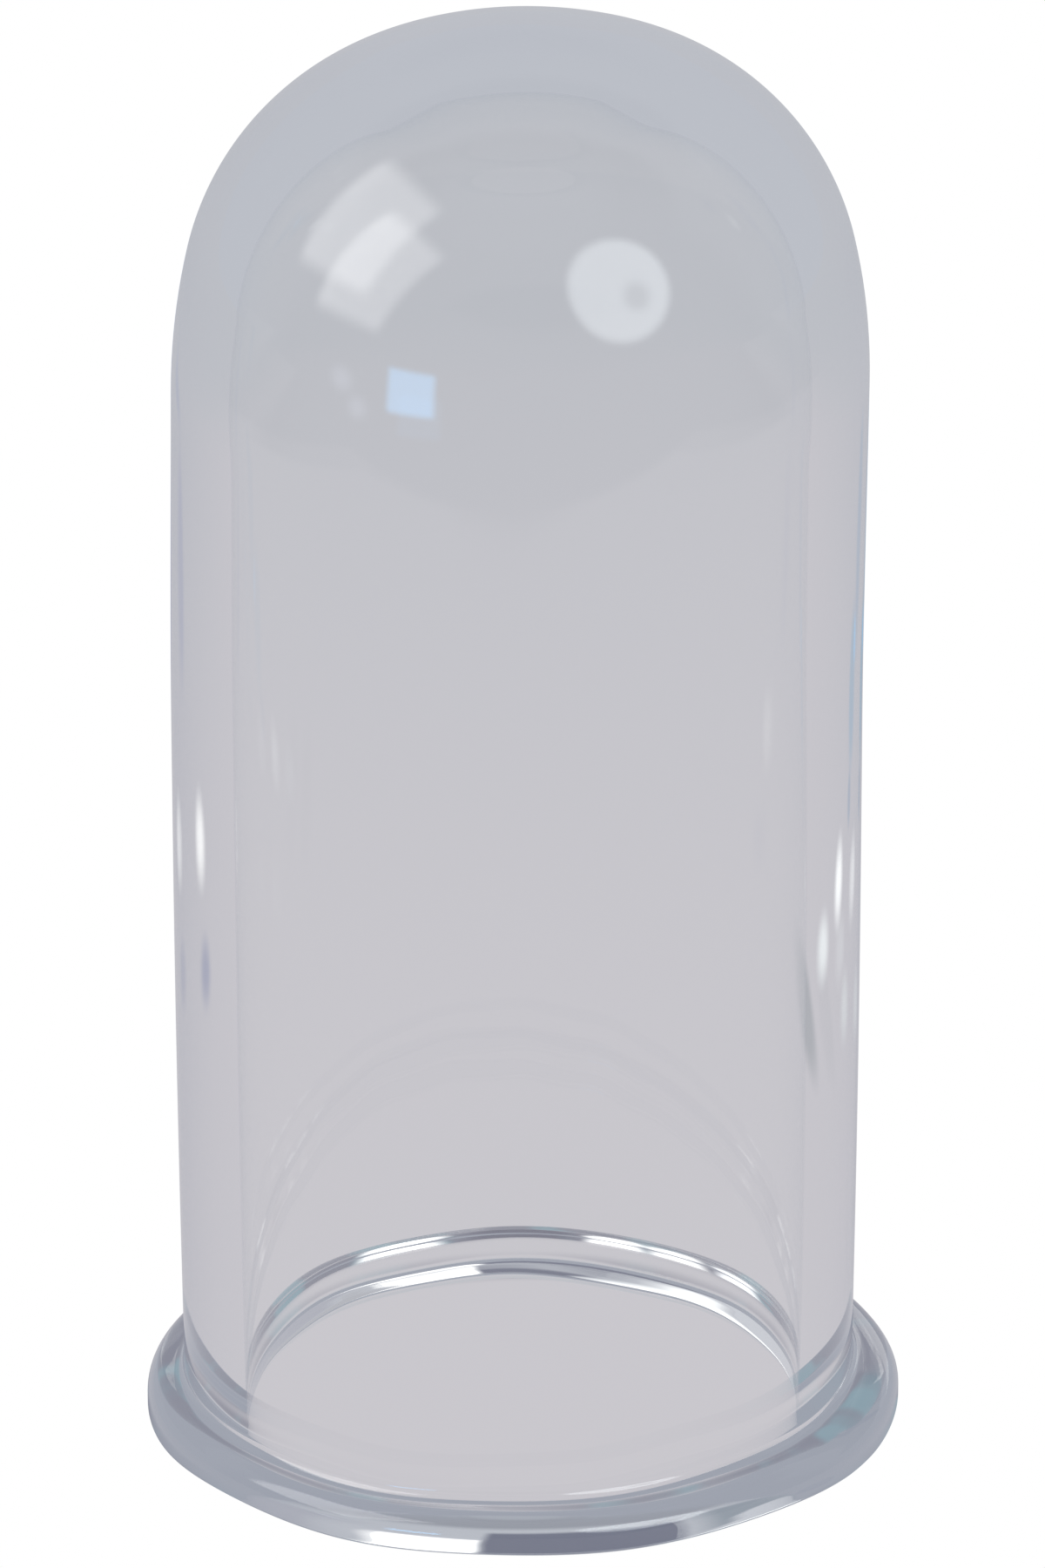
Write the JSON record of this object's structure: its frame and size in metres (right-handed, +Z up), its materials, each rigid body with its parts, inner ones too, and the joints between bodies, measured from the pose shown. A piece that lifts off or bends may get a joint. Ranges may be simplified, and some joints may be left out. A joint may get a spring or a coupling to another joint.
{
  "type": "bell jar dome",
  "caption": "Small clear glass bell jar dome, a thick-walled tube closed into a rounded crown, with a solid outward lip round its open mouth.",
  "frame": {"origin": "centre of the annular face that the flange stands on", "axes": "+Z up along the tube's axis, from the open mouth to the crown; X and Y are any two square directions, because the dome is round"},
  "size_m": [0.031, 0.031, 0.0595],
  "materials": {
    "clear_glass": "clear, fire-polished"
  },
  "bodies": {
    "root": {"glass_dome": "clear_glass"}
  },
  "joints": []
}
